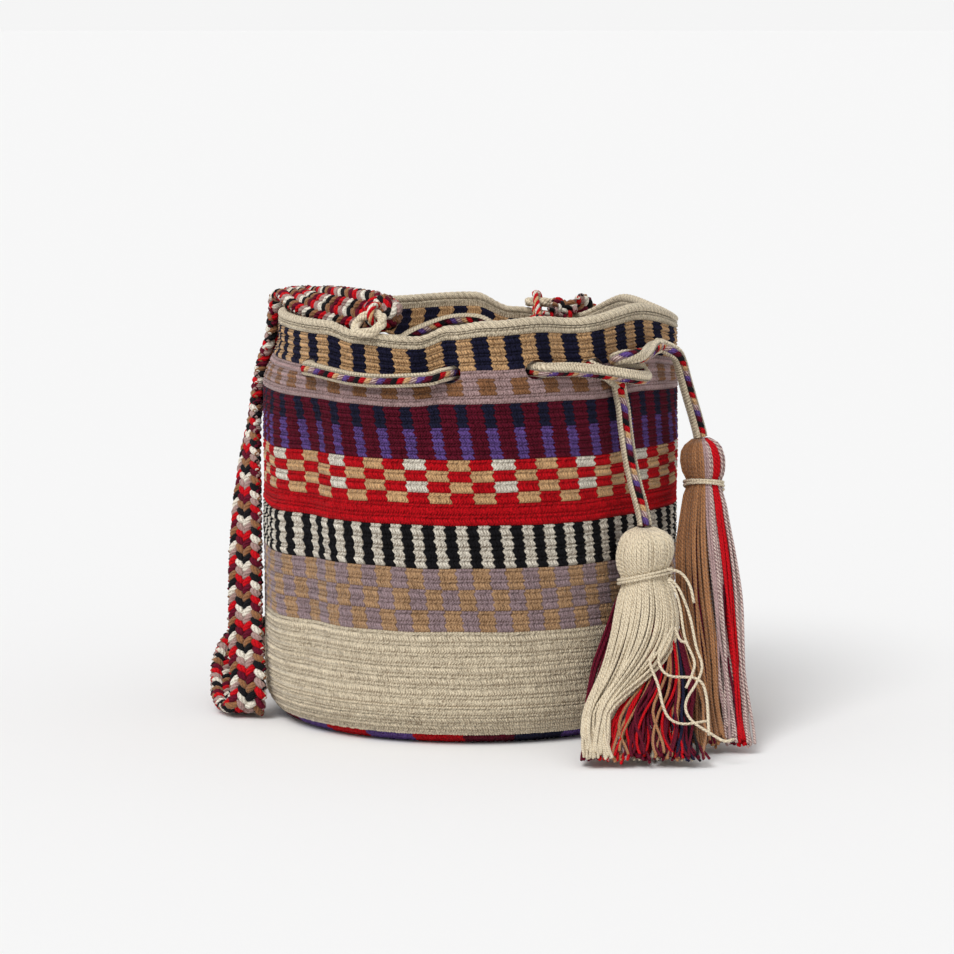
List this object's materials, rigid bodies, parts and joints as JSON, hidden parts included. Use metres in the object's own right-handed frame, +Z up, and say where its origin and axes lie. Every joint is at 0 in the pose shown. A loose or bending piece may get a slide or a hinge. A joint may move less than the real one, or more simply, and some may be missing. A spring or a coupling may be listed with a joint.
{
  "type": "crossbody bag",
  "caption": "Crocheted bucket bag with a laced drawstring, cord tassels and a thick braided shoulder strap.",
  "frame": {"origin": "middle of the flat underside of the bag, on the axis of the round body", "axes": "+Z up, -Y towards the front, where the knot and the tassels hang at the right, and +X to the right"},
  "size_m": [0.3245, 0.3292, 0.2597],
  "materials": {
    "bag_crochet": "matt ribbed cotton crochet",
    "drawstring_cord": "matt braided cotton",
    "strap_braid": "matt braided cotton",
    "tassel_front_yarn": "matt twisted cotton",
    "tassel_right_yarn": "matt twisted cotton",
    "loop_yarn": "matt cotton crochet"
  },
  "bodies": {
    "root": {"bag_body": "bag_crochet", "drawstring": "drawstring_cord", "drawstring_tail_front": "drawstring_cord", "drawstring_tail_right": "drawstring_cord", "strap": "strap_braid", "strap_loop_front": "loop_yarn", "strap_loop_back": "loop_yarn", "tassel_front": "tassel_front_yarn", "tassel_front_binding": "tassel_front_yarn", "tassel_right": "tassel_right_yarn", "tassel_right_binding": "tassel_right_yarn"}
  },
  "joints": []
}
